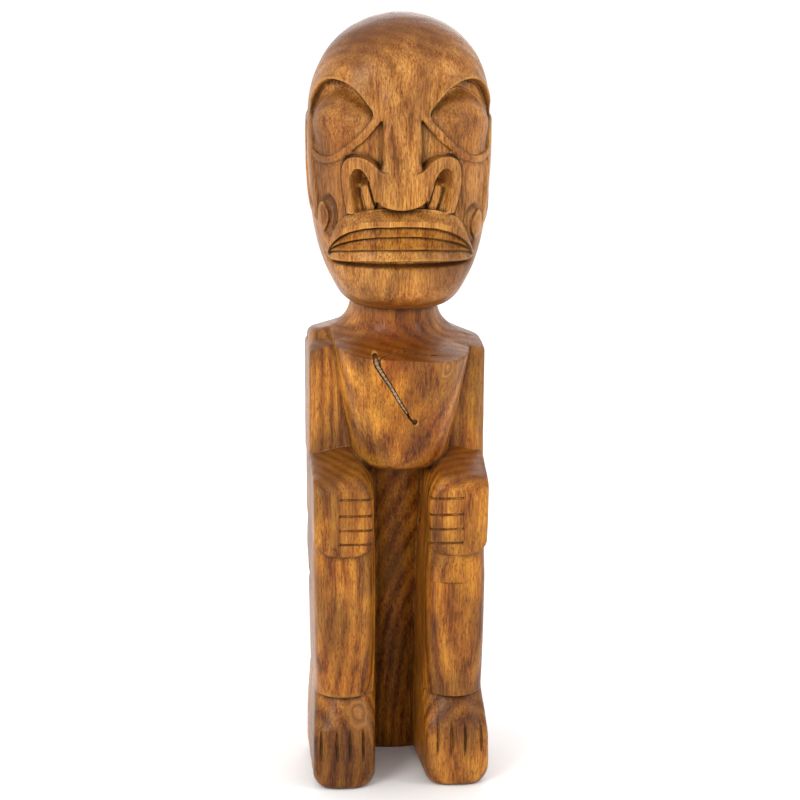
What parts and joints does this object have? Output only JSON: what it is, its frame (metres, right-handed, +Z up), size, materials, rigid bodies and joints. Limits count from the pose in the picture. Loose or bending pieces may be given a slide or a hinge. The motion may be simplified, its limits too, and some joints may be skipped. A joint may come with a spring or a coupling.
{
  "type": "carved tiki figure",
  "caption": "Free-standing carved wooden tiki figure with a large head, bulging eyes, wide mouth, hands on the knees and flat feet.",
  "frame": {"origin": "centre of the base on the ground, under the middle of the figure's bounding box", "axes": "+Z up; the figure faces -Y; +X is the figure's own left"},
  "size_m": [0.1488, 0.143, 0.61],
  "materials": {
    "carved_wood": "hand carved, waxed and polished, semi-gloss",
    "shaded_wood": "hand carved, waxed, darker patina in the recessed parts",
    "crack_filling": "pale filling paste, matt"
  },
  "bodies": {
    "root": {"head": "carved_wood", "right_eye": "carved_wood", "left_eye": "carved_wood", "right_eyelid": "carved_wood", "left_eyelid": "carved_wood", "nose": "carved_wood", "right_nostril": "carved_wood", "left_nostril": "carved_wood", "upper_lip": "carved_wood", "mouth_ridges": "shaded_wood", "lower_lip": "carved_wood", "right_ear": "carved_wood", "left_ear": "carved_wood", "neck": "carved_wood", "chest": "carved_wood", "trunk": "shaded_wood", "right_upper_arm": "carved_wood", "left_upper_arm": "carved_wood", "right_forearm": "carved_wood", "left_forearm": "carved_wood", "right_hand": "carved_wood", "left_hand": "carved_wood", "hips": "shaded_wood", "right_thigh": "carved_wood", "left_thigh": "carved_wood", "right_shin": "carved_wood", "left_shin": "carved_wood", "right_foot": "carved_wood", "left_foot": "carved_wood", "post": "shaded_wood", "crack_filler": "crack_filling"}
  },
  "joints": []
}
